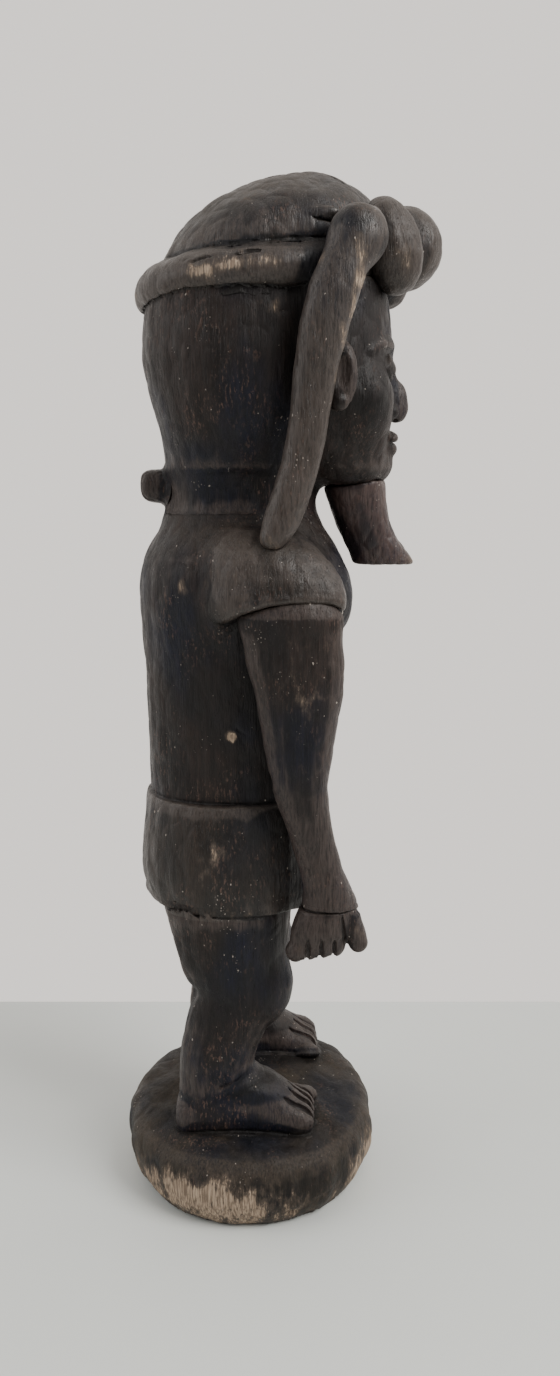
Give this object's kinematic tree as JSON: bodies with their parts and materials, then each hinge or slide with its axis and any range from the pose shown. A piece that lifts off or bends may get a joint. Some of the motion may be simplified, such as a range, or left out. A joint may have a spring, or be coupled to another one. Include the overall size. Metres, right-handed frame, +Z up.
{
  "type": "carved ancestor figure",
  "caption": "Dark stained wooden carving of a standing bearded man in a wound head-cloth and short loincloth, arms at the sides, on an oval pebble-shaped base.",
  "frame": {"origin": "centre of the base's flat underside, on the surface that the figure stands on", "axes": "+Z up along the standing figure; the figure faces -Y, and its own left side is +X"},
  "size_m": [0.1162, 0.1262, 0.3995],
  "materials": {
    "base_wood": "charred dark brown, matt, with pale raw wood worn through along the lower rim",
    "figure_wood": "dark purple-brown stain, satin, vertical open grain",
    "cloth_wood": "dark brown stain, satin, pale wear along raised edges",
    "beard_wood": "dark purple-brown, small gouge facets, slight polish"
  },
  "bodies": {
    "root": {"base": "base_wood", "loincloth": "cloth_wood", "torso": "figure_wood", "neck": "figure_wood", "nape_knob": "figure_wood", "head": "figure_wood", "beard": "beard_wood", "headband": "cloth_wood", "cap": "cloth_wood", "front_knot": "cloth_wood", "left_foot": "figure_wood", "left_leg": "figure_wood", "left_sleeve": "cloth_wood", "left_arm": "figure_wood", "left_hand": "figure_wood", "left_ear": "figure_wood", "left_knot_lobe": "cloth_wood", "left_tail": "cloth_wood", "right_foot": "figure_wood", "right_leg": "figure_wood", "right_sleeve": "cloth_wood", "right_arm": "figure_wood", "right_hand": "figure_wood", "right_ear": "figure_wood", "right_knot_lobe": "cloth_wood", "right_tail": "cloth_wood"}
  },
  "joints": []
}
